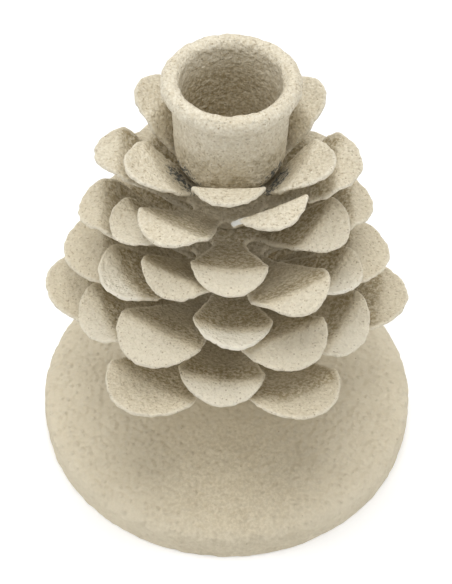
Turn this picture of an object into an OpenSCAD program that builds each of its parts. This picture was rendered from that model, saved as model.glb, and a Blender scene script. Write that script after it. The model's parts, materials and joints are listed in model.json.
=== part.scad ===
// Pinecone candle holder: eight stamped sheet-metal rosettes on a tie screw,
// between a shallow inverted pan and a drawn cup for a taper candle.
// Millimetres, +Z up, origin at the centre of the pan's rim plane, front at -Y.

/* [Base] */
// Outer diameter of the base pan
base_d = 96; // [94:0.5:110]
// Height of the pan's wall at its edge
base_h = 8.6; // [8:0.1:14]
// Rise of the pan's top from the edge to the centre
base_crown = 2; // [0.5:0.1:3]
// Radius where the wall turns into the top
base_edge_r = 3.4; // [2:0.1:4]
// Thickness of the pan's coated sheet
pan_sheet = 1.2; // [0.8:0.1:2]

/* [Cone] */
// Height of the lowest rosette's hub above the table
lowest_hub_z = 34.5; // [28:0.5:45]
// Distance between one rosette's hub and the next
tier_pitch = 7.5; // [6.5:0.1:9]
// Radius of a rosette's flat hub
hub_r = 9.3; // [9:0.1:9.5]
// Thickness of a rosette's hub
hub_t = 1; // [0.9:0.1:1.4]
// Thickness of a petal's coated sheet
petal_t = 0.85; // [0.6:0.05:0.9]
// Width of a petal where it leaves the hub
neck_w = 7.4; // [6:0.1:7.8]

/* [Petals, listed from the top rosette down] */
// Radius of the petal tips
tip_r = [24.1, 29.2, 29.8, 33.6, 33.3, 38.3, 37.6, 44.0]; // [20:0.1:46]
// Length of the rounded lip outside the fold
lip_l = [7.0, 5.6, 7.3, 5.5, 6.0, 9.7, 6.3, 9.7]; // [5:0.1:10]
// Distance from the two corners out to the fold
corner_l = [1.5, 2.3, 0.8, 3.8, 1.7, 0.9, 1.5, 1.1]; // [0.8:0.1:5]
// Rise of the fold above the hub
fold_rise = [9.6, 12.4, 8.6, 11.8, 8.2, 10.6, 8.7, 11.1]; // [6:0.1:14]
// Fall of the tip below the fold, where minus is upturned
lip_fall = [-2.4, 0.6, 0.5, 1.6, -1.1, 1.0, 0.9, -1.8]; // [-3:0.1:4]
// Width across the two corners
petal_w = [16.0, 17.4, 17.2, 19.0, 18.1, 21.4, 19.9, 23.1]; // [14:0.1:24]
// Height of the corners above the middle of the trough
trough = [0.5, 0.4, 1.2, 0.6, 2.1, 0.4, 2.3, 1.0]; // [0.4:0.1:2.5]
// Turn of each rosette from its regular place, in degrees
turn = [0, -3.5, 1, 2.5, 3, -1, -2, 0]; // [-5:0.5:5]

/* [Candle cup] */
// Radius of the candle's bore
bore_r = 11; // [10.5:0.1:11.4]
// Height of the cup's rim above the table
rim_z = 114; // [112:0.5:118]
// Radius of the rolled rim's round section
roll_r = 2.05; // [1.6:0.05:2.3]
// Outer radius of the cup just under the rim
cup_r_top = 12.9; // [12.6:0.1:13.2]
// Outer radius of the cup where the bottom bend starts
cup_r_low = 12.2; // [12:0.1:12.4]
// Outside radius of the bend round the cup's bottom
cup_bend_r = 5; // [4:0.1:6]
// Thickness of the cup's floor
cup_floor_t = 1.2; // [1:0.1:1.6]

/* [Fastening] */
// Diameter of the tie screw
screw_d = 4; // [3.5:0.1:4.2]
// Diameter of the holes and spacers that the screw passes through
clear_d = 4.6; // [4.4:0.1:5]
// Diameter of the spacers between the rosettes
spacer_d = 10; // [8:0.5:12]
// Diameter of the long spacer between the pan and the lowest rosette
stem_d = 14; // [10:0.5:16]
// Diameter of the screw's pan head
head_d = 8; // [7:0.5:9]
// Height of the screw's pan head
head_h = 2.6; // [2:0.1:3]
// Width of the hexagonal nut across its flats
nut_w = 7; // [6.5:0.1:8]
// Height of the hexagonal nut
nut_h = 3.2; // [2.4:0.1:3.4]
// Diameter of the washer under the pan
washer_d = 16; // [12:0.5:20]
// Thickness of that washer
washer_t = 1; // [0.8:0.1:1.6]

/* [Hidden] */

// Facets on round parts, and the small step that keeps cuts clear of faces
smooth = 96;
eps = 0.01;

// Each rosette has six petals, and every second rosette is turned half a step
tiers = 8;
petals = 6;
petal_step = 360 / petals;

// Heights up the stack
pan_top_z = base_h + base_crown;
pan_under_z = pan_top_z - pan_sheet;
top_hub_z = lowest_hub_z + (tiers - 1) * tier_pitch;
collar_h = 1.5;
cup_z = top_hub_z + collar_h;
cup_floor_z = cup_z + cup_floor_t;
nut_gap = 0.05;
screw_end = 0.6;

// Petals that a hand has bent away from the rest: [rosette, petal, lift of the fold,
// change in reach, swing counter-clockwise, roll lifting the corner on that side].
// Angles are in degrees.
bent = [
    [1, 0, 0.8, -0.7, -0.8, 1.5], [1, 1, -0.2, 0.4, 3, 6], [1, 2, 3.2, -0.8, 1, 0],
    [1, 3, 2.4, 0, 0, 0], [1, 4, 3.2, -0.6, 0, 0], [1, 5, -0.9, 0.9, -1.3, -6.5],
    [2, 0, 2.9, -2, -0.8, 3], [2, 1, -0.6, 0.2, -0.2, 8.5], [2, 4, 0, 1.1, 2.4, 5],
    [2, 5, -1.8, 0.5, 1.5, 0.5],
    [3, 0, -1.5, 0.7, -0.4, -3.5], [3, 1, 0.2, 0.2, -1, 3.5], [3, 5, 1, 0, 0.1, 5],
    [4, 0, -0.7, 2.3, -2.5, 2], [4, 1, -0.1, -0.3, 0.2, 0], [4, 4, 0, 1.2, -0.2, 1],
    [4, 5, 0.6, -2, 0.6, -4],
    [5, 0, -1.1, 0.6, -0.5, -6.5], [5, 1, 0.3, 0.2, 0.1, -5.5], [5, 4, 0.6, 0, 0, 0],
    [5, 5, 0.8, 0, -1.2, -5.5],
    [6, 0, -0.5, -0.1, -2.3, -0.5], [6, 1, 0.6, -0.1, 1.1, 2.5], [6, 4, 0.1, 1.1, -0.7, -9],
    [6, 5, -0.6, 0.6, -0.8, 0],
    [7, 0, -0.7, 0.3, -0.4, -4], [7, 1, 0.4, -0.2, 0.6, 7.5], [7, 5, 0.1, 0.5, -2.6, 1],
    [8, 0, -0.1, -0.2, -2, -6], [8, 1, -0.7, -0.3, -1.8, -2.5], [8, 4, 0.2, 0.4, -0.4, -2.5],
    [8, 5, 0.2, 0.5, -0.9, 0],
];
// Every other petal strays a little, by this much at most
stray = 0.5;

// The petal's lengthwise stations: inner ones as a fraction of the way to the
// corners, outer ones as an angle from the fold round the lip. The cross stations
// run edge to edge.
inner_stations = [0.06, 0.26, 0.5, 0.76, 1];
lip_stations = [0, 24, 44, 61, 76, 88];
cross_stations = [-1, -0.5, 0, 0.5, 1];
root_r = 9;
buried_r = 7;

// Powers that set how a petal rises to its fold, falls past it, flares out to its
// corners and is rounded at its end; and how soon its trough is fully formed
rise_power = 1.12;
fall_power = 1.2;
flare_power = 1.15;
end_power = 1.6;
trough_gain = 1.6;

coat = [0.86, 0.82, 0.71];
steel = [0.72, 0.73, 0.74];

// ---- Petal geometry -------------------------------------------------------

// One petal's [lift, change in reach, swing, roll] away from its regular place
function petal_bend(tier, petal) =
    let (found = [for (b = bent) if (b[0] == tier && b[1] == petal) [b[2], b[3], b[4], b[5]]])
    len(found) > 0 ? found[0] : [stray * sin(137 * (petals * tier + petal)), 0, 0, 0];

function fold_x(tier, bend) = tip_r[tier - 1] + bend[1] - lip_l[tier - 1];

function corner_x(tier, bend) = fold_x(tier, bend) - corner_l[tier - 1];

// Half-width at x: a concave flare out to the corners, then a rounded end
function half_width(tier, x, bend) =
    let (
        corner = corner_x(tier, bend),
        out = (x - corner) / (corner_l[tier - 1] + lip_l[tier - 1]),
        flare = pow(min(1, (x - root_r) / (corner - root_r)), flare_power)
    )
    out > 0 ? petal_w[tier - 1] / 2 * sqrt(1 - pow(out, end_power))
            : neck_w / 2 + (petal_w[tier - 1] - neck_w) / 2 * flare;

// One station is [radius, height, half-width, how far the trough is formed]
function station(tier, x, bend) =
    let (
        fold = fold_x(tier, bend),
        f = min(1, (x - root_r) / (fold - root_r)),
        past = max(0, x - fold) / lip_l[tier - 1]
    )
    [
        x,
        (fold_rise[tier - 1] + bend[0]) * pow(f, rise_power)
            - lip_fall[tier - 1] * pow(past, fall_power),
        half_width(tier, x, bend),
        min(1, trough_gain * f),
    ];

function petal_stations(tier, bend) =
    let (fold = fold_x(tier, bend), inner_l = corner_x(tier, bend) - root_r)
    concat(
        [[buried_r, 0, neck_w / 2, 0], [root_r, 0, neck_w / 2, 0]],
        [for (f = inner_stations) station(tier, root_r + inner_l * f, bend)],
        [for (a = lip_stations) station(tier, fold + lip_l[tier - 1] * sin(a), bend)]
    );

// Slope of the petal at station i, from the stations on either side of it
function slope(rows, i) =
    let (before = rows[max(i - 1, 0)], after = rows[min(i + 1, len(rows) - 1)])
    atan2(after[1] - before[1], after[0] - before[0]);

// A point on the petal's face, sunk by depth along the sheet's normal
function petal_point(tier, rows, roll, i, v, depth) =
    let (
        row = rows[i],
        a = slope(rows, i),
        y = row[2] * v,
        rise = trough[tier - 1] * row[3] * pow(2 * y / petal_w[tier - 1], 2),
        off = rise - depth,
        rolled = roll * row[3]
    )
    [row[0] - sin(a) * off, y * cos(rolled), row[1] + cos(a) * off + y * sin(rolled)];

// Faces of a closed sheet whose top and bottom are grids of n by m points
function grid_quads(n, m, base, flip) = [
    for (i = [0 : n - 2], j = [0 : m - 2])
        let (p = base + i * m + j, q = [p, p + 1, p + m + 1, p + m])
        each flip ? [[q[2], q[1], q[0]], [q[3], q[2], q[0]]]
                  : [[q[0], q[1], q[2]], [q[0], q[2], q[3]]]
];

function rim_loop(n, m) = concat(
    [for (j = [0 : m - 2]) j],
    [for (i = [0 : n - 2]) i * m + m - 1],
    [for (j = [m - 1 : -1 : 1]) (n - 1) * m + j],
    [for (i = [n - 1 : -1 : 1]) i * m]
);

function rim_quads(n, m) =
    let (loop = rim_loop(n, m), k = len(loop), under = n * m)
    [for (i = [0 : k - 1])
        let (a = loop[i], b = loop[(i + 1) % k])
        each [[b + under, b, a], [a + under, b + under, a]]];

module petal(tier, index) {
    bend = petal_bend(tier, index);
    rows = petal_stations(tier, bend);
    n = len(rows);
    m = len(cross_stations);
    top = [for (i = [0 : n - 1], v = cross_stations)
        petal_point(tier, rows, bend[3], i, v, 0)];
    bottom = [for (i = [0 : n - 1], v = cross_stations)
        petal_point(tier, rows, bend[3], i, v, petal_t)];
    polyhedron(
        points = concat(top, bottom),
        faces = concat(grid_quads(n, m, 0, false), grid_quads(n, m, n * m, true), rim_quads(n, m))
    );
}

// ---- Sub-parts ------------------------------------------------------------

module ring(outer_d, inner_d, height) {
    difference() {
        cylinder(d = outer_d, h = height, $fn = smooth);
        translate([0, 0, -1])
            cylinder(d = inner_d, h = height + 2, $fn = smooth);
    }
}

// Outline of half the pan's outside, from the axis out and down to depth below zero
module pan_half(r, h, crown, edge_r) {
    edge_a = 90 - atan(2 * crown / r);
    polygon(concat(
        [[0, 0], [r, 0]],
        [for (a = [0 : 7.5 : edge_a]) [r - edge_r + edge_r * cos(a), h - edge_r + edge_r * sin(a)]],
        [for (f = [0.9 : -0.1 : 0.1]) [r * f, h + crown * (1 - f * f)]],
        [[0, h + crown]]
    ));
}

module base_pan() {
    color(coat)
        difference() {
            rotate_extrude($fn = smooth)
                pan_half(base_d / 2, base_h, base_crown, base_edge_r);
            translate([0, 0, -pan_sheet])
                rotate_extrude($fn = smooth)
                    pan_half(base_d / 2 - pan_sheet, base_h, base_crown, base_edge_r - 1);
            translate([0, 0, -pan_sheet])
                cylinder(r = base_d / 2 - pan_sheet, h = pan_sheet + eps, $fn = smooth);
            cylinder(d = clear_d, h = pan_top_z + 1, $fn = smooth);
        }
}

module stem_spacer() {
    color(coat)
        translate([0, 0, pan_top_z])
            ring(stem_d, clear_d, lowest_hub_z - hub_t - pan_top_z);
}

// Rosette 1 is the top one
module rosette(tier) {
    hub_z = top_hub_z - (tier - 1) * tier_pitch;
    stagger = tier % 2 == 0 ? petal_step / 2 : 0;
    first = stagger + turn[tier - 1] - 90;
    buried = (hub_t - petal_t) / 2;
    color(coat)
        translate([0, 0, hub_z])
            difference() {
                union() {
                    translate([0, 0, -hub_t])
                        cylinder(r = hub_r, h = hub_t, $fn = smooth);
                    for (index = [0 : petals - 1])
                        rotate([0, 0, first + petal_step * index + petal_bend(tier, index)[2]])
                            translate([0, 0, -buried])
                                petal(tier, index);
                }
                translate([0, 0, -hub_t - 1])
                    cylinder(d = clear_d, h = hub_t + 2, $fn = smooth);
            }
}

// Spacer 1 stands between rosettes 1 and 2
module spacer(index) {
    color(coat)
        translate([0, 0, top_hub_z - index * tier_pitch])
            ring(spacer_d, clear_d, tier_pitch - hub_t);
}

module cup_collar() {
    color(coat)
        translate([0, 0, top_hub_z])
            ring(spacer_d, clear_d, collar_h);
}

// A drawn cup: flat floor, round bend, slightly flared wall and rolled rim
module candle_cup() {
    bend_z = cup_z + cup_bend_r;
    bend_x = cup_r_low - cup_bend_r;
    inner_bend = bore_r - bend_x;
    roll_z = rim_z - roll_r;
    roll_x = bore_r + roll_r;
    color(coat)
        difference() {
            union() {
                rotate_extrude($fn = smooth)
                    polygon(concat(
                        [[0, cup_z]],
                        [for (a = [-90 : 7.5 : 0])
                            [bend_x + cup_bend_r * cos(a), bend_z + cup_bend_r * sin(a)]],
                        [[cup_r_top, roll_z - 1.5], [roll_x, roll_z], [0, roll_z]]
                    ));
                translate([0, 0, roll_z])
                    rotate_extrude($fn = smooth)
                        translate([roll_x, 0])
                            circle(r = roll_r, $fn = 48);
            }
            translate([0, 0, bend_z])
                cylinder(r = bore_r, h = roll_z - bend_z + eps, $fn = smooth);
            rotate_extrude($fn = smooth)
                polygon(concat(
                    [[0, cup_floor_z]],
                    [for (a = [-90 : 7.5 : 0])
                        [bend_x + inner_bend * cos(a), bend_z + (bend_z - cup_floor_z) * sin(a)]],
                    [[bore_r, bend_z + eps], [0, bend_z + eps]]
                ));
            translate([0, 0, cup_z - 1])
                cylinder(d = clear_d, h = cup_floor_t + 2, $fn = smooth);
        }
}

module tie_screw() {
    end_z = pan_under_z - washer_t - nut_h - screw_end;
    slot_w = 1;
    slot_depth = 1.2;
    head_edge = 1;
    color(steel)
        difference() {
            union() {
                translate([0, 0, end_z])
                    cylinder(d = screw_d, h = cup_floor_z - end_z + eps, $fn = smooth);
                translate([0, 0, cup_floor_z])
                    rotate_extrude($fn = smooth)
                        polygon(concat(
                            [[0, 0], [head_d / 2, 0]],
                            [for (a = [0 : 15 : 90])
                                [head_d / 2 - head_edge + head_edge * cos(a),
                                 head_h - head_edge + head_edge * sin(a)]],
                            [[0, head_h]]
                        ));
            }
            translate([-head_d / 2 - 1, -slot_w / 2, cup_floor_z + head_h - slot_depth])
                cube([head_d + 2, slot_w, slot_depth + 1]);
        }
}

module base_washer() {
    color(steel)
        translate([0, 0, pan_under_z - washer_t])
            ring(washer_d, clear_d, washer_t);
}

module base_nut() {
    color(steel)
        translate([0, 0, pan_under_z - washer_t - nut_h])
            difference() {
                cylinder(d = nut_w / cos(30), h = nut_h, $fn = 6);
                translate([0, 0, -1])
                    cylinder(d = screw_d + 2 * nut_gap, h = nut_h + 2, $fn = smooth);
            }
}

base_pan();
stem_spacer();
for (i = [1 : tiers])
    rosette(i);
for (i = [1 : tiers - 1])
    spacer(i);
cup_collar();
candle_cup();
tie_screw();
base_washer();
base_nut();
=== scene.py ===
import itertools
import json
import math

import bpy
import numpy as np
from mathutils import Matrix, Vector


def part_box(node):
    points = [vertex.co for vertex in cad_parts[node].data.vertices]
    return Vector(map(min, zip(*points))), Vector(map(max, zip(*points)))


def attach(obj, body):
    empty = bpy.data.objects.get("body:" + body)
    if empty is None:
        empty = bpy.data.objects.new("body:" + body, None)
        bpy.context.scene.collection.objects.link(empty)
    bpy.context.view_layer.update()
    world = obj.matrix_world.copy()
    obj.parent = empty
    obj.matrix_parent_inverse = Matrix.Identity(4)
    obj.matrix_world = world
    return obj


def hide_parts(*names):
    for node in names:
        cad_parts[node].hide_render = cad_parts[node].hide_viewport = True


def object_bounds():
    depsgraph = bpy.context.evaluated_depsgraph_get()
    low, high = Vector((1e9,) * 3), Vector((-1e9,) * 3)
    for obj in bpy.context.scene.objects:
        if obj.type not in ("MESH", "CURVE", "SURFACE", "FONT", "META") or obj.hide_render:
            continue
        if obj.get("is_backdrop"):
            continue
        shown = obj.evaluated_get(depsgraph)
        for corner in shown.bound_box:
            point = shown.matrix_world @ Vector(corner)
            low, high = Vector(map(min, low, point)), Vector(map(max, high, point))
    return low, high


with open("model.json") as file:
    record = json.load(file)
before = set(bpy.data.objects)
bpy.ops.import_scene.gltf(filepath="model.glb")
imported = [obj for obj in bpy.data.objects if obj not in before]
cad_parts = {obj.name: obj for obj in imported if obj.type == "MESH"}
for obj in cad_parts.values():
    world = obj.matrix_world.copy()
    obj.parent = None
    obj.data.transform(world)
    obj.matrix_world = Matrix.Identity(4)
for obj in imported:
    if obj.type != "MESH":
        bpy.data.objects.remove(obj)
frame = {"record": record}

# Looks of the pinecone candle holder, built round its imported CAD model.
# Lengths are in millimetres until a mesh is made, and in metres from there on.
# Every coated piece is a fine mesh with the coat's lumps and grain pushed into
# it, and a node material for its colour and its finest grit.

CAD_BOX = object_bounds()
MM = 0.001


def box_mm(node):
    """Lowest and highest corner of a CAD node, in millimetres."""
    low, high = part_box(node)
    return np.array(low) / MM, np.array(high) / MM


def low_z(node):
    return float(box_mm(node)[0][2])


def high_z(node):
    return float(box_mm(node)[1][2])


def radius_of(node):
    return float(box_mm(node)[1][0])


# ---- Sizes ----------------------------------------------------------------

TIERS = 8
PETALS = 6
PETAL_STEP = 360 / PETALS

# Each rosette's petals, listed from the top rosette down, as in the CAD source
TIP_R = [24.1, 29.2, 29.8, 33.6, 33.3, 38.3, 37.6, 44.0]
LIP_L = [7.0, 5.6, 7.3, 5.5, 6.0, 9.7, 6.3, 9.7]
CORNER_L = [1.5, 2.3, 0.8, 3.8, 1.7, 0.9, 1.5, 1.1]
FOLD_RISE = [9.6, 12.4, 8.6, 11.8, 8.2, 10.6, 8.7, 11.1]
LIP_FALL = [-2.4, 0.6, 0.5, 1.6, -1.1, 1.0, 0.9, -1.8]
PETAL_W = [16.0, 17.4, 17.2, 19.0, 18.1, 21.4, 19.9, 23.1]
TROUGH = [0.5, 0.4, 1.2, 0.6, 2.1, 0.4, 2.3, 1.0]
TURN = [0, -3.5, 1, 2.5, 3, -1, -2, 0]

# Petals bent by hand, as (rosette, petal):
# (lift of the fold, change in reach, swing counter-clockwise and roll that lifts the
# corner on that side, both in degrees)
BENT = {
    (1, 0): (0.8, -0.7, -0.8, 1.5), (1, 1): (-0.2, 0.4, 3, 6), (1, 2): (3.2, -0.8, 1, 0),
    (1, 3): (2.4, 0, 0, 0), (1, 4): (3.2, -0.6, 0, 0), (1, 5): (-0.9, 0.9, -1.3, -6.5),
    (2, 0): (2.9, -2, -0.8, 3), (2, 1): (-0.6, 0.2, -0.2, 8.5), (2, 4): (0, 1.1, 2.4, 5),
    (2, 5): (-1.8, 0.5, 1.5, 0.5),
    (3, 0): (-1.5, 0.7, -0.4, -3.5), (3, 1): (0.2, 0.2, -1, 3.5), (3, 5): (1, 0, 0.1, 5),
    (4, 0): (-0.7, 2.3, -2.5, 2), (4, 1): (-0.1, -0.3, 0.2, 0), (4, 4): (0, 1.2, -0.2, 1),
    (4, 5): (0.6, -2, 0.6, -4),
    (5, 0): (-1.1, 0.6, -0.5, -6.5), (5, 1): (0.3, 0.2, 0.1, -5.5), (5, 4): (0.6, 0, 0, 0),
    (5, 5): (0.8, 0, -1.2, -5.5),
    (6, 0): (-0.5, -0.1, -2.3, -0.5), (6, 1): (0.6, -0.1, 1.1, 2.5),
    (6, 4): (0.1, 1.1, -0.7, -9), (6, 5): (-0.6, 0.6, -0.8, 0),
    (7, 0): (-0.7, 0.3, -0.4, -4), (7, 1): (0.4, -0.2, 0.6, 7.5), (7, 5): (0.1, 0.5, -2.6, 1),
    (8, 0): (-0.1, -0.2, -2, -6), (8, 1): (-0.7, -0.3, -1.8, -2.5),
    (8, 4): (0.2, 0.4, -0.4, -2.5), (8, 5): (0.2, 0.5, -0.9, 0),
}
# The folds of the other petals stray up or down by this much at most, as the sine of an
# angle that grows by this many degrees from each petal to the next
STRAY = 0.5
STRAY_TURN = 137

# Powers that set how a petal rises to its fold, falls past it, flares out to its
# corners and is rounded at its end; and how soon its trough is fully formed
RISE_POWER = 1.12
FALL_POWER = 1.2
FLARE_POWER = 1.15
END_POWER = 1.6
TROUGH_GAIN = 1.6

# Width of a petal at the hub, radius where it starts to rise, and thickness of its
# coated sheet
NECK_W = 7.4
ROOT_R = 9.0
SHEET_T = 1.0

# Radii of the hub, of the holes that the screw passes through and of the candle's bore
HUB_R = 9.3
CLEAR_R = 2.3
BORE_R = frame["record"]["mounts"][0]["dims"]["r_mm"]

# Where two neighbouring petals meet at the hub, in each one's own x and y
HUB_ROOT_X = HUB_R * math.cos(math.radians(PETAL_STEP / 2))
HUB_ROOT_Y = HUB_R * math.sin(math.radians(PETAL_STEP / 2))

# Tops of the hubs, which the spacers and the collar stand on
HUB_Z = [low_z("cup_collar")] + [low_z(f"spacer_{i}") for i in range(1, TIERS)]

# How finely a petal is meshed: distances of its outermost columns from the edge, number
# of columns between those of both sides, distance between rows, number of rows in the
# hub, and how far along the rounded end its last row starts, as a share of that end
EDGE_STEPS = np.array([0.0, 0.07, 0.2, 0.38, 0.56])
ACROSS = 47
ROW_STEP = 0.42
HUB_ROWS = 16
END_ROW_AT = 0.8


# ---- Smooth random fields -------------------------------------------------

def lattice_value(at, seed):
    """A fixed number from -1 to 1 for each point of a whole-number lattice."""
    mixed = at[:, 0] * 374761393 + at[:, 1] * 668265263 + at[:, 2] * 2147483647
    mixed = mixed + seed * 1442695041
    mixed = (mixed ^ (mixed >> 13)) * 1274126177
    mixed = mixed ^ (mixed >> 16)
    return (mixed & 0xFFFF) / 32767.5 - 1


def field(points, cell, seed):
    """Smooth random field from -1 to 1 whose bumps are about a cell wide."""
    scaled = points / cell
    low = np.floor(scaled)
    part = scaled - low
    ease = part * part * (3 - 2 * part)
    low = low.astype(np.int64)
    total = np.zeros(len(points))
    for corner in itertools.product((0, 1), repeat=3):
        weight = np.prod(np.where(corner, ease, 1 - ease), axis=1)
        total += weight * lattice_value(low + np.array(corner), seed)
    return total


def smoothstep(x, low, high):
    t = np.clip((x - low) / (high - low), 0, 1)
    return t * t * (3 - 2 * t)


# ---- Mesh helpers ---------------------------------------------------------

def grid_faces(rows, columns, start=0, wrap_rows=False, wrap_columns=False):
    """Quads over a grid of points numbered row by row."""
    i = np.arange(rows if wrap_rows else rows - 1)[:, None]
    j = np.arange(columns if wrap_columns else columns - 1)[None, :]
    i2, j2 = (i + 1) % rows, (j + 1) % columns
    corners = [i * columns + j, i2 * columns + j, i2 * columns + j2, i * columns + j2]
    quads = np.stack([np.broadcast_to(c, (i.size, j.size)) for c in corners], -1)
    return quads.reshape(-1, 4) + start


def vertex_normals(points, faces):
    """Unit normals at the points of a mesh of quads."""
    a, b, c, d = (points[faces[:, k]] for k in range(4))
    across = np.cross(c - a, d - b)
    total = np.zeros_like(points)
    for k in range(4):
        np.add.at(total, faces[:, k], across)
    return total / np.maximum(np.linalg.norm(total, axis=1, keepdims=True), 1e-12)


def volume(points, faces):
    a, b, c, d = (points[faces[:, k]] for k in range(4))
    return float((np.cross(a, b) * c).sum() + (np.cross(a, c) * d).sum()) / 6


def weld(points, faces, *values):
    """Joins points that lie at the same place, and keeps the first one's values."""
    keys = np.round(points / 1e-4).astype(np.int64)
    _, first, new = np.unique(keys, axis=0, return_index=True, return_inverse=True)
    return (points[first], new.reshape(-1)[faces], *[v[first] for v in values])


def coat_lumps(points, faces, amounts, keep_above=None, share=1.0):
    """Pushes the coat's relief into a mesh. amounts lists (cell, lift, seed), where lift
    is how far the tallest bumps stand out."""
    normals = vertex_normals(points, faces)
    push = share * sum(lift * field(points, cell, seed) for cell, lift, seed in amounts)
    moved = points + normals * push[:, None]
    if keep_above is not None:
        moved[:, 2] = np.maximum(moved[:, 2], keep_above)
    return moved


def add_piece(name, points, faces, node, material, masks=()):
    """A mesh piece in metres that stands for a CAD node. masks are (name, value at
    each point) pairs that its material reads."""
    if volume(points, faces) < 0:
        faces = faces[:, ::-1]
    mesh = bpy.data.meshes.new(name)
    mesh.from_pydata((points * MM).tolist(), [], faces.tolist())
    mesh.polygons.foreach_set("use_smooth", np.ones(len(faces), bool))
    mesh.materials.append(material)
    for mask, values in masks:
        mesh.attributes.new(mask, "FLOAT", "POINT").data.foreach_set("value", values)
    mesh.update()
    piece = bpy.data.objects.new(name, mesh)
    bpy.context.scene.collection.objects.link(piece)
    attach(piece, "root")
    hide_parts(node)


# ---- Outlines turned round the axis ---------------------------------------

def arc(centre, radius, start, stop, steps=12):
    """Points on a circle in the (radius, height) plane, angles in degrees."""
    angles = np.radians(np.linspace(start, stop, steps + 1))
    return np.stack([centre[0] + radius * np.cos(angles), centre[1] + radius * np.sin(angles)], 1)


def resample(line, spacing):
    """The same open line with points an even spacing apart."""
    line = np.asarray(line, float)
    reach = np.concatenate([[0], np.cumsum(np.linalg.norm(np.diff(line, axis=0), axis=1))])
    count = max(2, int(round(reach[-1] / spacing)) + 1)
    at = np.linspace(0, reach[-1], count)
    return np.stack([np.interp(at, reach, line[:, k]) for k in range(2)], 1)


def lathe(outline, segments):
    """A closed outline of (radius, height) points turned round the Z axis."""
    angles = np.linspace(0, 2 * math.pi, segments, endpoint=False)
    r, z = outline[:, 0][:, None], outline[:, 1][:, None]
    points = np.stack([r * np.cos(angles), r * np.sin(angles), z + 0 * angles], -1)
    faces = grid_faces(len(outline), segments, wrap_rows=True, wrap_columns=True)
    return points.reshape(-1, 3), faces


def join_lines(*lines):
    """One closed outline from lines that each start where the last one ended."""
    return np.concatenate([line[:-1] for line in lines])


# ---- Materials ------------------------------------------------------------

class Graph:
    """A Principled material with short calls for its nodes. Lengths are in mm."""

    def __init__(self, name):
        self.material = bpy.data.materials.new(name)
        self.material.use_nodes = True
        self.tree = self.material.node_tree
        self.shader = self.tree.nodes["Principled BSDF"]
        place = self.add("ShaderNodeTexCoord").outputs["Object"]
        self.place = self.vector("SCALE", place, scale=1 / MM)

    def add(self, kind, **settings):
        node = self.tree.nodes.new(kind)
        for key, value in settings.items():
            setattr(node, key, value)
        return node

    def feed(self, socket, value):
        """Links a socket to another one, or sets it to a plain value."""
        if isinstance(value, bpy.types.NodeSocket):
            self.tree.links.new(value, socket)
        else:
            socket.default_value = value

    def vector(self, operation, a, b=None, scale=None):
        node = self.add("ShaderNodeVectorMath", operation=operation)
        self.feed(node.inputs[0], a)
        if b is not None:
            self.feed(node.inputs[1], b)
        if scale is not None:
            node.inputs["Scale"].default_value = scale
        is_number = operation in ("LENGTH", "DISTANCE", "DOT_PRODUCT")
        return node.outputs["Value" if is_number else "Vector"]

    def math(self, operation, a, b, c=None):
        node = self.add("ShaderNodeMath", operation=operation)
        self.feed(node.inputs[0], a)
        self.feed(node.inputs[1], b)
        if c is not None:
            self.feed(node.inputs[2], c)
        return node.outputs["Value"]

    def ramp(self, value, low, high, to_low=0.0, to_high=1.0):
        """Goes smoothly from to_low to to_high while the value goes from low to high."""
        node = self.add("ShaderNodeMapRange", interpolation_type="SMOOTHSTEP")
        for key, x in zip(("Value", "From Min", "From Max", "To Min", "To Max"),
                          (value, low, high, to_low, to_high)):
            self.feed(node.inputs[key], x)
        return node.outputs["Result"]

    def noise(self, size, detail=2.0, roughness=0.5, shift=0.0):
        """Noise with features about size mm wide, from 0 to 1."""
        node = self.add("ShaderNodeTexNoise")
        moved = self.vector("ADD", self.place, (shift, -shift, 0.7 * shift))
        self.feed(node.inputs["Vector"], moved)
        node.inputs["Scale"].default_value = 1 / size
        node.inputs["Detail"].default_value = detail
        node.inputs["Roughness"].default_value = roughness
        return node.outputs[0]

    def cells(self, size, feature="F1", shift=0.0):
        """The node of a pattern of random cells about size mm wide."""
        node = self.add("ShaderNodeTexVoronoi", feature=feature)
        self.feed(node.inputs["Vector"], self.vector("ADD", self.place, (shift, shift, -shift)))
        node.inputs["Scale"].default_value = 1 / size
        return node

    def mix(self, factor, a, b):
        node = self.add("ShaderNodeMix", data_type="RGBA")
        self.feed(node.inputs[0], factor)
        self.feed(node.inputs[6], a)
        self.feed(node.inputs[7], b)
        return node.outputs[2]

    def bump(self, height, distance, strength, normal=None):
        node = self.add("ShaderNodeBump")
        self.feed(node.inputs["Height"], height)
        node.inputs["Distance"].default_value = distance * MM
        node.inputs["Strength"].default_value = strength
        if normal is not None:
            self.feed(node.inputs["Normal"], normal)
        return node.outputs["Normal"]


def rgb(red, green, blue):
    return (red, green, blue, 1.0)


# The coat is a mix of the first three, from the palest sand to the deepest; the palest
# also paints light and highlights. Dark grit is scattered in it, and it is olive brown
# where it is thin; the olive brown also paints shade and shadow. Bare is the metal under
# it, and chip the pale face of a break.
PALE = rgb(0.86, 0.81, 0.68)
CREAM_LIGHT = rgb(0.775, 0.705, 0.55)
CREAM_DEEP = rgb(0.63, 0.55, 0.40)
GRIT = rgb(0.30, 0.22, 0.12)
OLIVE = rgb(0.285, 0.22, 0.11)
BARE = rgb(0.07, 0.085, 0.095)
CHIP = rgb(0.82, 0.83, 0.80)
# Heights between which painted light makes the coat paler, from cream towards its palest
TOP_LIGHT_FROM, TOP_LIGHT_TO = 60.0, 112.0


def specks(g, size, share, shift):
    """Mask of round specks in a share of the cells, each 0.10 to 0.24 of a cell in
    radius with a soft edge."""
    cells = g.cells(size, shift=shift)
    split = g.add("ShaderNodeSeparateColor")
    g.feed(split.inputs[0], cells.outputs["Color"])
    chosen = g.math("LESS_THAN", split.outputs[0], share)
    spread = g.math("MULTIPLY_ADD", split.outputs[1], 0.14, 0.10)
    inside = g.ramp(g.math("SUBTRACT", cells.outputs["Distance"], spread), 0.0, 0.09, 1.0, 0.0)
    return g.math("MULTIPLY", chosen, inside)


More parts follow.
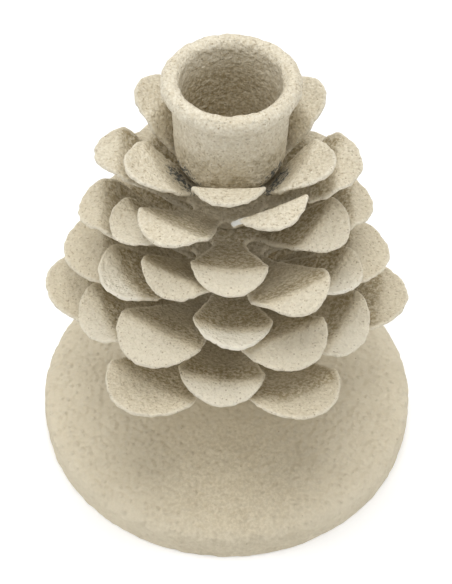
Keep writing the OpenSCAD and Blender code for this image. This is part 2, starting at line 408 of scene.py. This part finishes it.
def sand_coat(name, thin_coat_and_shade=None, bare=None, chip=None, pale=None, speck_share=0.3,
              pit_share=0.5, grain_share=0.65, beads=None):
    """The gritty cream coat, with masks for where it is thin and painted with shade, rubbed
    through to dark metal, chipped to a pale face, and painted with highlight. beads is
    the size of the round bumps of a thicker, smoother coat."""
    g = Graph(name)
    # Tone that changes from grain to grain and, more softly, over the piece
    grain = g.noise(0.62, detail=3, roughness=0.62, shift=31)
    clouds = g.noise(9, detail=3, roughness=0.55)
    mean_tone = 0.4
    least, most = mean_tone - grain_share / 2, mean_tone + grain_share / 2
    tone = g.math("ADD", g.ramp(grain, 0.33, 0.66, least, most),
                  g.ramp(clouds, 0.35, 0.7, 0.0, 0.2))
    # Painted light: the higher the coat stands, the paler it is
    light = g.mix(g.ramp(height(g), TOP_LIGHT_FROM, TOP_LIGHT_TO, 0.0, 0.7), CREAM_LIGHT, PALE)
    colour = g.mix(tone, light, CREAM_DEEP)
    # Pits between the grains, then thin places with painted shade, painted highlight,
    # specks, and last the breaks
    pits = g.ramp(g.noise(0.8, detail=2, roughness=0.6, shift=13), 0.58, 0.7, 0.0, pit_share)
    colour = g.mix(pits, colour, GRIT)
    # Olive brown for a thin coat and for painted shade
    if thin_coat_and_shade is not None:
        sand = g.noise(0.85, detail=3, roughness=0.65, shift=57)
        sand = g.ramp(sand, 0.38, 0.6, 0.25, 1.0)
        colour = g.mix(g.math("MULTIPLY", thin_coat_and_shade(g), sand), colour, OLIVE)
    # Painted highlight on the petals' edges and lips, in the palest cream
    if pale is not None:
        colour = g.mix(pale(g), colour, PALE)
    colour = g.mix(g.math("MULTIPLY", specks(g, 0.8, speck_share, 5), 0.55), colour, GRIT)
    if bare is not None:
        colour = g.mix(bare(g), colour, BARE)
    if chip is not None:
        colour = g.mix(chip(g), colour, CHIP)
    g.feed(g.shader.inputs["Base Color"], colour)
    g.feed(g.shader.inputs["Roughness"], g.ramp(grain, 0.3, 0.7, 0.97, 0.84))
    g.shader.inputs["Specular IOR Level"].default_value = 0.2
    # Relief of sand grains, or of round beads under a finer grain
    if beads is None:
        coarse = g.bump(g.noise(1.0, detail=1, roughness=0.5, shift=9), 0.6, 0.9)
        fine = g.bump(g.noise(0.45, detail=2, roughness=0.6, shift=77), 0.3, 0.7, coarse)
    else:
        hollow = g.cells(beads, "SMOOTH_F1", shift=17).outputs["Distance"]
        coarse = g.bump(g.math("SUBTRACT", 1.0, hollow), 1.1, 0.85)
        fine = g.bump(g.noise(0.7, detail=1, roughness=0.5, shift=77), 0.12, 0.6, coarse)
    g.feed(g.shader.inputs["Normal"], fine)
    return g.material


def from_axis(g):
    return g.vector("LENGTH", g.vector("MULTIPLY", g.place, (1, 1, 0)))


def height(g):
    split = g.add("ShaderNodeSeparateXYZ")
    g.feed(split.inputs[0], g.place)
    return split.outputs["Z"]


def attribute(g, name):
    return g.add("ShaderNodeAttribute", attribute_name=name).outputs["Fac"]


def petal_thin_coat_and_shade(g):
    """Thin brownish coat, and painted shade, inside the petals' folds."""
    return g.math("MULTIPLY", attribute(g, "thin_coat_and_shade"), 0.8)


def petal_painted_highlight(g):
    """Painted highlight along the petals' edges and on some rosettes' lips."""
    return attribute(g, "pale")


def pan_painted_shadow(g):
    """Painted shadow: a faint brownish patch on the pan in front of the lowest petals."""
    away = g.vector("DISTANCE", g.place, (2.0, -32.0, high_z("base_pan")))
    return g.ramp(away, 8.0, 32.0, 0.28, 0.0)


def cup_stain_and_bore_shade(g):
    """Thin brownish coat on the cup's foot, and painted shade inside its bore."""
    foot, rim = low_z("candle_cup"), high_z("candle_cup")
    # Low on the wall, up to an uneven height, with patches left and right of the front
    uneven = g.math("SUBTRACT", g.noise(4.0, detail=2, roughness=0.6, shift=12), 0.5)
    uneven = g.math("MULTIPLY", uneven, 44.0)
    low = g.ramp(g.math("SUBTRACT", height(g), uneven), foot + 2.0, foot + 9.0, 0.55, 0.0)
    patchy = g.ramp(g.noise(2.2, detail=3, roughness=0.6, shift=34), 0.4, 0.6, 0.2, 1.0)
    for side in (-1, 1):
        away = g.vector("DISTANCE", g.place, (side * 9.0, -8.5, foot + 7.5))
        patch = g.math("MULTIPLY", g.ramp(away, 1.5, 7.0, 0.6, 0.0), patchy)
        low = g.math("MAXIMUM", low, patch)
    # Painted shade inside the bore, from a little below the rim and darker further in, more
    # so on the left
    bored = g.ramp(from_axis(g), BORE_R + 0.3, BORE_R + 0.8, 1.0, 0.0)
    down = g.ramp(height(g), rim - 10.0, rim - 2.5, 0.72, 0.0)
    sideways = g.vector("DOT_PRODUCT", g.place, (1, 0, 0))
    down = g.math("MULTIPLY", down, g.ramp(sideways, -6.0, 8.0, 1.0, 0.72))
    return g.math("MAXIMUM", low, g.math("MULTIPLY", bored, down))


def crevice_bare(g):
    """Specks of dark metal in the crevice between the cup's foot and its petals, most
    of them left and right of the front one."""
    foot = low_z("candle_cup")
    z, r = height(g), from_axis(g)
    # A ring just outside the bore, at the height of the cup's foot
    above, below = g.ramp(z, foot - 3.0, foot), g.ramp(z, foot + 5.0, foot + 11.0, 1.0, 0.0)
    band = g.math("MULTIPLY", above, below)
    outside_bore = g.ramp(r, BORE_R + 0.2, BORE_R + 0.7)
    ring = g.math("MULTIPLY", outside_bore, g.ramp(r, 13.5, 18.0, 1.0, 0.0))
    # Worn a little all round, and most at two places left and right of the front
    worn = 0.25
    for side in (-1, 1):
        away = g.vector("DISTANCE", g.place, (side * 10.5, -7.5, foot + 2.0))
        worn = g.math("MAXIMUM", g.ramp(away, 2.5, 8.0, 1.0, 0.0), worn)
    where = g.math("MULTIPLY", g.math("MULTIPLY", band, ring), worn)
    level = g.math("SUBTRACT", 0.74, g.math("MULTIPLY", where, 0.29))
    sand = g.noise(0.9, detail=3, roughness=0.7, shift=91)
    spots = g.ramp(g.math("SUBTRACT", sand, level), 0.0, 0.06)
    return g.math("MULTIPLY", spots, 0.85)


def plated_steel():
    """Dull zinc plating with cloudy stains."""
    g = Graph("plated_steel")
    cloudy = g.noise(3.0, detail=3, roughness=0.6)
    colour = g.mix(g.ramp(cloudy, 0.3, 0.7), rgb(0.50, 0.50, 0.49), rgb(0.64, 0.64, 0.62))
    stains = g.ramp(g.noise(0.7, detail=3, roughness=0.7, shift=21), 0.55, 0.75, 0.0, 0.6)
    dull = g.mix(stains, colour, rgb(0.30, 0.28, 0.25))
    g.feed(g.shader.inputs["Base Color"], dull)
    g.shader.inputs["Metallic"].default_value = 1.0
    g.feed(g.shader.inputs["Roughness"], g.ramp(cloudy, 0.3, 0.7, 0.34, 0.55))
    scuffs = g.noise(0.25, detail=2, roughness=0.6, shift=5)
    g.feed(g.shader.inputs["Normal"], g.bump(scuffs, 0.02, 0.3))
    return g.material


# ---- Rosettes -------------------------------------------------------------

class Petal:
    """One petal's shape. x runs outward along its axis, y across it."""

    def __init__(self, tier, index):
        k = tier - 1
        wander = STRAY * math.sin(math.radians(STRAY_TURN * (PETALS * tier + index)))
        lift, reach, self.swing, self.roll = BENT.get((tier, index), (wander, 0, 0, 0))
        self.width, self.trough = PETAL_W[k], TROUGH[k]
        self.lip = LIP_L[k]
        self.tip = TIP_R[k] + reach
        self.fold = self.tip - self.lip
        self.corner = self.fold - CORNER_L[k]
        self.end = self.tip - self.corner
        self.rise, self.fall = FOLD_RISE[k] + lift, LIP_FALL[k]
        self.turn = (PETAL_STEP / 2 if tier % 2 == 0 else 0) + TURN[k] - 90 + PETAL_STEP * index
        self.make_tables()

    def make_tables(self):
        """Height and depth of trough along x, softened where the sheet is folded and
        eased in where it leaves the hub."""
        step, soft = 0.05, 0.5
        x = np.arange(0, self.tip + 6, step)
        f = np.clip((x - ROOT_R) / (self.fold - ROOT_R), 0, 1)
        s = np.maximum(x - self.fold, 0) / self.lip
        z = self.rise * f ** RISE_POWER - self.fall * s ** FALL_POWER
        formed = np.minimum(1, TROUGH_GAIN * f)
        reach = np.arange(-4 * soft, 4 * soft + step / 2, step)
        bell = np.exp(-0.5 * (reach / soft) ** 2)
        bell /= bell.sum()
        pad = len(bell) // 2
        leave = smoothstep(x, HUB_ROOT_X, HUB_ROOT_X + 1.5)
        soft_z, soft_formed = (np.convolve(np.pad(values, pad, mode="edge"), bell, mode="valid")
                               for values in (z, formed))
        self.x, self.z, self.formed = x, soft_z * leave, soft_formed * leave
        self.slope = np.gradient(self.z, step)

    def end_x(self, y):
        """Where the rounded end's outline lies at a distance y from the petal's axis."""
        across = np.clip(1 - (2 * np.abs(y) / self.width) ** 2, 0, 1)
        return self.corner + self.end * across ** (1 / END_POWER)

    def half_width(self, x):
        """Half the petal's width from the hub out to its corners, with a small
        rounded notch where it meets its neighbour."""
        f = np.clip((x - ROOT_R) / (self.corner - ROOT_R), 0, 1)
        notch = (HUB_ROOT_Y - NECK_W / 2) * np.clip(1 - (x - HUB_ROOT_X) / 1.6, 0, 1) ** 2
        return NECK_W / 2 + (self.width - NECK_W) / 2 * f ** FLARE_POWER + notch

    def outline(self):
        """One side's outline from the notch to the tip, and which of its points the grid's
        last row and the rounded end start at."""
        inner_x = np.linspace(HUB_ROOT_X, self.corner, 160)
        inner = np.stack([inner_x, self.half_width(inner_x)], 1)
        share = np.sin(np.linspace(0, math.pi / 2, 161))[1:]
        end = np.stack([self.corner + self.end * share,
                        self.width / 2 * np.sqrt(np.clip(1 - share ** END_POWER, 0, 1))], 1)
        turn = int(np.argmax(share >= END_ROW_AT))
        return np.concatenate([inner, end]), len(inner) + turn, len(inner)

    def rows(self):
        """The grid's (x, y) points, row by row from the hub out to the lip's end, and one
        side's outline."""
        line, end, corner = self.outline()
        side = line[: end + 1]
        reach = np.concatenate([[0], np.cumsum(np.linalg.norm(np.diff(side, axis=0), axis=1))])
        count = int(round(reach[-1] / ROW_STEP))
        at = np.linspace(0, reach[-1], count + 1)
        last = at[-1] - at[-2]
        at = np.concatenate([at[:-1], at[-1] - last * np.array([0.5, 0.2, 0.0])])
        side_x = np.interp(at, reach, side[:, 0])
        side_y = np.interp(at, reach, side[:, 1])
        past = np.clip((at - reach[corner - 1]) / (reach[-1] - reach[corner - 1]), 0, 1)
        y = column_places(side_y)
        bulge = self.end_x(y) - self.end_x(side_y)[:, None]
        x = side_x[:, None] + (past ** 2)[:, None] * bulge
        return np.stack([x, y], -1), line

    def surface(self, flat, depth):
        """Points of the sheet at some depth below the petal's face."""
        x, y = flat[..., 0], flat[..., 1]
        z = np.interp(x, self.x, self.z)
        angle = np.arctan(np.interp(x, self.x, self.slope))
        formed = np.interp(x, self.x, self.formed)
        off = self.trough * formed * (2 * y / self.width) ** 2 - depth
        rolled = np.radians(self.roll) * formed
        out = np.stack([x - np.sin(angle) * off, y * np.cos(rolled),
                        z + np.cos(angle) * off + y * np.sin(rolled)], -1)
        r = np.hypot(x, y)
        turned = np.radians(self.turn + self.swing * smoothstep(r, HUB_R + 0.05, HUB_R + 5))
        cos, sin = np.cos(turned), np.sin(turned)
        return np.stack([out[..., 0] * cos - out[..., 1] * sin,
                         out[..., 0] * sin + out[..., 1] * cos, out[..., 2]], -1)


def column_places(half):
    """y of each column in rows of these half-widths: close-set near both edges."""
    half = np.asarray(half)[:, None]
    inset = half - EDGE_STEPS[-1]
    middle = np.linspace(-1, 1, ACROSS + 2)[None, 1:-1] * inset
    return np.concatenate([-(half - EDGE_STEPS), middle, (half - EDGE_STEPS)[:, ::-1]], 1)


def hub_rows():
    """One sixth of the hub: round at the screw's hole, straight where petals start."""
    share = np.linspace(0, 1, HUB_ROWS, endpoint=False)[:, None]
    across = column_places([HUB_ROOT_Y])[0] / HUB_ROOT_Y
    angle = np.radians(PETAL_STEP / 2) * across[None, :]
    r = CLEAR_R + (HUB_R - CLEAR_R) * share
    round_part = np.stack([r * np.cos(angle), r * np.sin(angle)], -1)
    x = r * math.cos(math.radians(PETAL_STEP / 2)) + 0 * angle
    straight = np.stack([x, x * math.tan(math.radians(PETAL_STEP / 2)) * across[None, :]], -1)
    return round_part * (1 - share[..., None]) + straight * share[..., None]


def edge_distance(flat, line):
    """Distance of each grid point from the sheet's outline or the screw's hole."""
    points = np.stack([flat[..., 0], np.abs(flat[..., 1])], -1).reshape(-1, 2)
    batches = np.array_split(points, 8)
    apart = [np.sqrt(((batch[:, None] - line[None]) ** 2).sum(-1)).min(1) for batch in batches]
    from_hole = np.hypot(points[:, 0], points[:, 1]) - CLEAR_R
    return np.minimum(np.concatenate(apart), from_hole).reshape(flat.shape[:2])


def rosette_mesh(tier):
    """A rosette as one closed sheet: hub and six petals with rounded edges. Also gives
    each point's distance from the sheet's edge, and how far inside the fold it lies."""
    points, faces, edges, inside, start = [], [], [], [], 0
    half = SHEET_T / 2
    for index in range(PETALS):
        petal = Petal(tier, index)
        rows, line = petal.rows()
        flat = np.concatenate([hub_rows(), rows])
        away = edge_distance(flat, line)
        away[-1] = away[HUB_ROWS:, 0] = away[HUB_ROWS:, -1] = away[0] = 0
        swell = np.sqrt(np.clip(half ** 2 - (half - np.clip(away, 0, half)) ** 2, 0, None))
        top = petal.surface(flat, half - swell)
        bottom = petal.surface(flat, half + swell)
        n, m = flat.shape[:2]
        faces += [grid_faces(n, m, start), grid_faces(n, m, start + n * m)[:, ::-1]]
        points += [top.reshape(-1, 3), bottom.reshape(-1, 3)]
        edges += [away.reshape(-1)] * 2
        inside += [(petal.fold - flat[..., 0]).reshape(-1)] * 2
        start += 2 * n * m
    points, faces, edges, inside = weld(np.concatenate(points), np.concatenate(faces),
                                        np.concatenate(edges), np.concatenate(inside))
    points[:, 2] += HUB_Z[tier - 1]
    return points, faces, edges, inside


# How strong the painted highlight on each rosette's lips is, and how much of the thin
# coat and painted shade is taken off deep in its folds, where rendered shade already falls
LIP_PAINTED_LIGHT = [0.0, 0.0, 0.4, 0.2, 0.95, 0.35, 0.55, 0.0]
DEEP_FOLD_EASING = [0.3, 0.45, 0.1, 0.45, 0.1, 0.45, 0.45, 0.3]


def petal_relief(tier, points, edge):
    """How far the coat's grain pushes each point of a rosette out, with lumps along its
    petals' edges. Also gives how far out of the hub each point is, from 0 to 1."""
    near_edge = np.exp(-(edge / 0.45) ** 2)
    out_of_hub = smoothstep(np.hypot(points[:, 0], points[:, 1]), HUB_R, HUB_R + 3)
    push = 0.10 * field(points, 0.95, tier) + 0.06 * field(points, 1.9, 20 + tier)
    lumps = 0.16 * field(points, 1.2, 40 + tier) + 0.16 * field(points, 2.6, 80 + tier)
    push += out_of_hub * near_edge * (lumps + 0.04)
    return push + out_of_hub * 0.06 * field(points, 6.0, 60 + tier), out_of_hub


def thin_coat_and_shade_mask(tier, points, edge, inside):
    """Thin coat and painted shade: inside the folds, and most of all at the back."""
    x, y = points[:, 0], points[:, 1]
    # Depths inside the fold between which the coat goes from whole to thin and painted
    # shade sets in
    low, high = -1.0, 4.5 - 2.0 * smoothstep(x, 0, 12)
    if tier == 1:
        low, high = 0.5, 6.5
    elif tier % 2:
        low, high = -0.3, 1.7
    behind = smoothstep(y, 0, 8) if tier <= 2 else 0.6 * smoothstep(y, -8, 8)
    depth = inside + 3.2 * behind
    if tier == TIERS:
        depth += 3.2 * smoothstep(x, 6, 14)
    thin_coat_and_shade = smoothstep(depth, low, high) * smoothstep(edge, 0.3, 1.1)
    thin_coat_and_shade *= 1 - DEEP_FOLD_EASING[tier - 1] * smoothstep(depth, 3, 9) * (1 - behind)
    return np.maximum(thin_coat_and_shade, 0.33 * behind)


def painted_highlight_mask(tier, points, edge, inside):
    """Painted highlight: along the petals' edges and on the lips at the front."""
    lip = smoothstep(-inside, 0, 2) * smoothstep(-points[:, 1], 5, 20)
    return np.maximum(0.32 * np.exp(-(edge / 0.5) ** 2), LIP_PAINTED_LIGHT[tier - 1] * lip)


def make_rosette(tier):
    points, faces, edge, inside = rosette_mesh(tier)
    push, out_of_hub = petal_relief(tier, points, edge)
    points = points + vertex_normals(points, faces) * push[:, None]
    # Masks for the thin coat with painted shade, and for painted highlight
    masks = [("thin_coat_and_shade", thin_coat_and_shade_mask(tier, points, edge, inside)),
             ("pale", out_of_hub * painted_highlight_mask(tier, points, edge, inside))]
    name = f"rosette_{tier}"
    add_piece(f"{name}_coated", points, faces, name, PETAL_COAT, masks)


def corner_chip(g):
    """A pale chip on the left corner of rosette 2's front right petal."""
    petal = Petal(2, 0)
    centre = petal.surface(np.array([[petal.corner + 0.9, -petal.width / 2 + 1.5]]), 0.0)[0]
    centre[2] += HUB_Z[1]
    away = g.vector("DISTANCE", g.place, tuple(centre))
    ragged = g.math("MULTIPLY", g.noise(1.6, detail=3, roughness=0.6, shift=66), 1.6)
    return g.ramp(g.math("ADD", away, ragged), 3.0, 3.6, 0.8, 0.0)


PETAL_COAT = sand_coat("petal_coat", thin_coat_and_shade=petal_thin_coat_and_shade, bare=crevice_bare, chip=corner_chip,
                       pale=petal_painted_highlight)
CUP_COAT = sand_coat("cup_coat", thin_coat_and_shade=cup_stain_and_bore_shade, bare=crevice_bare, speck_share=0.42)
PAN_COAT = sand_coat("pan_coat", thin_coat_and_shade=pan_painted_shadow, speck_share=0.004, pit_share=0.0,
                     grain_share=0.2, beads=1.5)
STEEL = plated_steel()


# ---- Pan, cup and spacers -------------------------------------------------

GRAIN = [(1.05, 0.10, 101), (1.9, 0.05, 102)]


def make_pan():
    """The shallow inverted pan: crowned top, soft shoulder, short wall."""
    r, top = radius_of("base_pan"), high_z("base_pan")
    crown, shoulder, sheet = 2.0, 3.4, 1.2
    wall_h = top - crown
    bead = sheet / 2
    # Length left out between the crown and the shoulder, so that they meet smoothly
    ease = 1.5
    # Spacing of the points on the faces that show and on those that don't
    fine, coarse = 0.42, 1.8

    def crowned(radius, drop, start, stop):
        x = np.linspace(start, stop, 60)
        return np.stack([x, top - drop - crown * (x / radius) ** 2], 1)

    lean = 90 - math.degrees(math.atan(2 * crown / r))
    outer_arc = arc((r - shoulder, wall_h - shoulder), shoulder, lean, 0)
    outer_top = crowned(r, 0, CLEAR_R, outer_arc[0][0] - ease)
    in_r, in_shoulder = r - sheet, shoulder - 1
    in_arc = arc((in_r - in_shoulder, wall_h - sheet - in_shoulder), in_shoulder, 0, lean)
    inner_top = crowned(in_r, sheet, in_arc[-1][0] - ease, CLEAR_R)
    foot = arc((r - bead, bead), bead, 0, -180)
    outside = resample(np.concatenate([outer_top, outer_arc]), fine)
    wall = resample([outside[-1], foot[0]], fine)
    inner_wall = resample([foot[-1], in_arc[0]], coarse)
    inside = resample(np.concatenate([in_arc, inner_top]), coarse)
    hole = resample([inside[-1], outside[0]], 0.4)
    outline = join_lines(outside, wall, foot, inner_wall, inside, hole)
    points, faces = lathe(outline, segments=560)
    relief = [(1.5, 0.17, 101), (3.3, 0.06, 102), (9.0, 0.05, 103)]
    points = coat_lumps(points, faces, relief, keep_above=0.0)
    add_piece("base_pan_coated", points, faces, "base_pan", PAN_COAT)


def make_cup():
    """The drawn cup: floor, round bend, slightly flared wall and rolled rim."""
    foot, rim = low_z("candle_cup"), high_z("candle_cup")
    roll = (radius_of("candle_cup") - BORE_R) / 2
    roll_x, roll_z = BORE_R + roll, rim - roll
    top_r, low_r, bend, floor_t = 12.9, 12.2, 5.0, 1.2
    bend_x, bend_z = low_r - bend, foot + bend
    inner_bend = BORE_R - bend_x
    inner_arc = arc((0, 0), 1, -90, 0)
    inner_arc = inner_arc * [inner_bend, bend_z - foot - floor_t] + [bend_x, bend_z]
    curl = arc((roll_x, roll_z), roll, 180, -80, 30)
    under_roll = roll_z - roll
    wall_top = [[top_r, under_roll - 0.35], [top_r - 0.02, under_roll - 0.7]]
    foot_arc = arc((bend_x, bend_z), bend, 0, -90)
    outside = resample(np.concatenate([curl, wall_top, foot_arc]), 0.27)
    floor_under = resample([outside[-1], [CLEAR_R, foot]], 0.5)
    hole = resample([floor_under[-1], [CLEAR_R, foot + floor_t]], 0.4)
    inside = resample(np.concatenate([[hole[-1]], inner_arc, [curl[0]]]), 0.3)
    outline = join_lines(outside, floor_under, hole, inside)
    points, faces = lathe(outline, segments=320)
    on_rim = smoothstep(points[:, 2], rim - 5.0, rim - 3.0)
    points = coat_lumps(points, faces, GRAIN + [(3.5, 0.06, 105)])
    points = coat_lumps(points, faces, [(1.4, 0.13, 106)], share=on_rim)
    add_piece("candle_cup_coated", points, faces, "candle_cup", CUP_COAT)


def make_ring(node, material, soft=0.3, spacing=0.5, segments=96, relief=GRAIN):
    """A plain ring round the screw with rounded edges."""
    low, high, r = low_z(node), high_z(node), radius_of(node)
    corners = [
        arc((r - soft, low + soft), soft, -90, 0, 4),
        arc((r - soft, high - soft), soft, 0, 90, 4),
        arc((CLEAR_R + soft, high - soft), soft, 90, 180, 4),
        arc((CLEAR_R + soft, low + soft), soft, 180, 270, 4)]
    outline = np.concatenate(corners + [corners[0][:1]])
    points, faces = lathe(resample(outline, spacing)[:-1], segments)
    if relief:
        points = coat_lumps(points, faces, relief)
    add_piece(f"{node}_finished", points, faces, node, material)


# ---- Fasteners ------------------------------------------------------------

# The screw and the nut share one pitch. Their threads are cut this deep.
THREAD_PITCH = 0.7
THREAD_CUT = 0.43
NUT_THREAD_CUT = 0.2


def screw_radius(angle, z, start, stop, outer):
    """Radius of a threaded rod: a V thread that fades out at both ends."""
    lead_in, run_out, chamfer = 0.5, 1.5, 0.35
    phase = np.mod(z / THREAD_PITCH - angle / (2 * math.pi), 1)
    vee = np.abs(2 * phase - 1)
    fade = smoothstep(z, start, start + lead_in) * (1 - smoothstep(z, stop - run_out, stop))
    foot = 1 - smoothstep(z, start - 0.05, start + 0.4)
    return outer - THREAD_CUT * (1 - vee) * fade - chamfer * foot


def make_screw():
    """The tie screw: threaded foot, plain shank and slotted pan head."""
    low, top = low_z("tie_screw"), high_z("tie_screw")
    head_r = radius_of("tie_screw")
    head_h, head_edge = 2.6, 1.0
    shank_r, thread_l = 2.0, 24.0
    under_head = top - head_h
    slot_half, slot_depth, slot_soft = 0.5, 1.2, 0.12
    cap_r = 0.25
    segments = 64
    angle = np.linspace(0, 2 * math.pi, segments, endpoint=False)[None, :]
    z_thread = np.arange(low, low + thread_l, THREAD_PITCH / 8)
    z_shank = np.linspace(low + thread_l, under_head, 30)
    z = np.concatenate([z_thread, z_shank])[:, None]
    r = screw_radius(angle, z, low, low + thread_l, shank_r)
    dome = arc((head_r - head_edge, top - head_edge), head_edge, 0, 90, 8)
    head = resample(np.concatenate([[[shank_r, under_head]], [[head_r, under_head]], dome,
                                    [[cap_r, top]]]), 0.18)
    r = np.concatenate([cap_r + 0 * angle, r, np.repeat(head[:, :1], segments, 1)])
    z = np.concatenate([low + 0 * angle, z + 0 * angle, np.repeat(head[:, 1:], segments, 1)])
    x, y = r * np.cos(angle), r * np.sin(angle)
    in_slot = smoothstep(slot_half + slot_soft - np.abs(y), 0, 2 * slot_soft)
    z = np.where(z > top - slot_depth, z - in_slot * (z - top + slot_depth), z)
    points = np.stack([x, y, z], -1)
    rows = len(points)
    faces = grid_faces(rows, segments, wrap_columns=True)
    half = np.arange(segments // 2 - 1)
    caps = []
    for first, flip in ((0, False), ((rows - 1) * segments, True)):
        quad = np.stack([first + half, first + half + 1,
                         first + segments - 2 - half, first + segments - 1 - half], 1)
        caps.append(quad[:, ::-1] if flip else quad)
    faces = np.concatenate([faces] + caps)
    points = points.reshape(-1, 3)
    add_piece("tie_screw_plated", points, faces, "tie_screw", STEEL)


def make_nut():
    """The hexagonal nut, chamfered at both faces, with a threaded hole."""
    low, high = low_z("base_nut"), high_z("base_nut")
    across = float(box_mm("base_nut")[1][1])
    chamfer_r, chamfer_slope = across * 1.06, 1.9
    thread_r, lead, lead_slope = 2.07, 0.5, 0.6
    segments = 180
    angle = np.linspace(0, 2 * math.pi, segments, endpoint=False)[None, :]
    folded = np.mod(angle, math.pi / 3) - math.pi / 6
    hexagon = across / np.cos(folded)
    z = np.linspace(low, high, 34)[:, None]
    to_face = np.minimum(z - low, high - z)
    outer = np.minimum(hexagon, chamfer_r + chamfer_slope * to_face)
    phase = np.mod(z / THREAD_PITCH - angle / (2 * math.pi), 1)
    inner = thread_r + NUT_THREAD_CUT * np.abs(2 * phase - 1)
    lip = np.maximum(0, lead - to_face) * lead_slope
    face_steps = np.linspace(0, 1, 8)[1:-1][:, None]
    top = outer[-1:] * (1 - face_steps) + (inner + lip)[-1:] * face_steps
    r = np.concatenate([outer, top, (inner + lip)[::-1], top[::-1]])
    z = np.concatenate([z + 0 * angle, high + 0 * top, (z + 0 * angle)[::-1], low + 0 * top])
    points = np.stack([r * np.cos(angle), r * np.sin(angle), z], -1)
    faces = grid_faces(len(points), segments, wrap_rows=True, wrap_columns=True)
    points = points.reshape(-1, 3)
    add_piece("base_nut_plated", points, faces, "base_nut", STEEL)


# ---- Stage ----------------------------------------------------------------

IMAGE_H = 584


def make_camera():
    """Looks down on the holder's front. Focal length and shift are in pixels of an
    image IMAGE_H pixels high."""
    aim, distance, elevation = Vector((0, 0, 44.6)), 368.0, math.radians(49.2)
    roll, focal_px, right_px = math.radians(0.83), 1500.0, 2.2
    back = Vector((0, -math.cos(elevation), math.sin(elevation)))
    right = Vector((1, 0, 0))
    up = back.cross(right)
    tilted_right = right * math.cos(roll) + up * math.sin(roll)
    tilted_up = up * math.cos(roll) - right * math.sin(roll)
    data = bpy.data.cameras.new("camera")
    data.sensor_width = 36.0
    data.lens = focal_px * data.sensor_width / IMAGE_H
    data.shift_x = -right_px / IMAGE_H
    data.clip_start, data.clip_end = 0.01, 20.0
    camera = bpy.data.objects.new("camera", data)
    turn = Matrix((tilted_right, tilted_up, back)).transposed()
    camera.matrix_world = Matrix.Translation((aim + back * distance) * MM) @ turn.to_4x4()
    bpy.context.scene.collection.objects.link(camera)
    bpy.context.scene.camera = camera


# The holder's middle, in metres
MIDDLE = Vector((0, 0, 0.05))

# Soft boxes a metre from there: name, azimuth from the front and elevation in degrees,
# side of the box in metres, power in watts
LIGHTS = [
    ("overhead", 0, 89, 0.5, 2.7),
    ("high_front", 0, 72, 0.3, 1.1),
    ("front", 0, 50, 0.4, 0.9),
    ("back", 180, 55, 0.4, 1.9),
    ("left", -90, 42, 0.5, 2.6),
    ("right", 90, 42, 0.5, 1.9),
]


def make_light(name, azimuth, elevation, size, watts):
    """A square soft box that faces the middle of the holder."""
    turn, rise = math.radians(azimuth), math.radians(elevation)
    flat = math.cos(rise)
    toward = Vector((math.sin(turn) * flat, -math.cos(turn) * flat, math.sin(rise)))
    data = bpy.data.lights.new(name, "AREA")
    data.shape, data.size, data.energy = "SQUARE", size, watts
    lamp = bpy.data.objects.new(name, data)
    lamp.location = MIDDLE + toward
    lamp.rotation_mode = "QUATERNION"
    lamp.rotation_quaternion = toward.to_track_quat("Z", "Y")
    bpy.context.scene.collection.objects.link(lamp)


def make_stage():
    """A white table that runs out of sight, in even white light."""
    mesh = bpy.data.meshes.new("floor")
    far = 3.0
    corners = [(-far, -far, 0), (far, -far, 0), (far, far, 0), (-far, far, 0)]
    mesh.from_pydata(corners, [], [(0, 1, 2, 3)])
    paper = bpy.data.materials.new("paper")
    paper.use_nodes = True
    shader = paper.node_tree.nodes["Principled BSDF"]
    shader.inputs["Base Color"].default_value = rgb(0.93, 0.93, 0.93)
    shader.inputs["Roughness"].default_value = 0.9
    shader.inputs["Emission Color"].default_value = rgb(1, 1, 1)
    shader.inputs["Emission Strength"].default_value = 0.14
    mesh.materials.append(paper)
    floor = bpy.data.objects.new("floor", mesh)
    bpy.context.scene.collection.objects.link(floor)
    floor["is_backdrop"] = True
    world = bpy.data.worlds.new("studio")
    world.use_nodes = True
    sky = world.node_tree.nodes["Background"]
    sky.inputs["Color"].default_value = rgb(1, 1, 1)
    sky.inputs["Strength"].default_value = 0.33
    bpy.context.scene.world = world
    for light in LIGHTS:
        make_light(*light)
    bpy.context.scene.view_settings.view_transform = "Standard"


# ---- Build ----------------------------------------------------------------

make_camera()
make_stage()
for tier in range(1, TIERS + 1):
    make_rosette(tier)
make_pan()
make_cup()
for node in ["stem_spacer", "cup_collar"] + [f"spacer_{i}" for i in range(1, TIERS)]:
    make_ring(node, PETAL_COAT)
make_ring("base_washer", STEEL, soft=0.15, spacing=0.25, relief=None)
make_screw()
make_nut()

boxes = {"cad": CAD_BOX, "visual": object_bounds()}
boxes = {name: [list(corner) for corner in box] for name, box in boxes.items()}
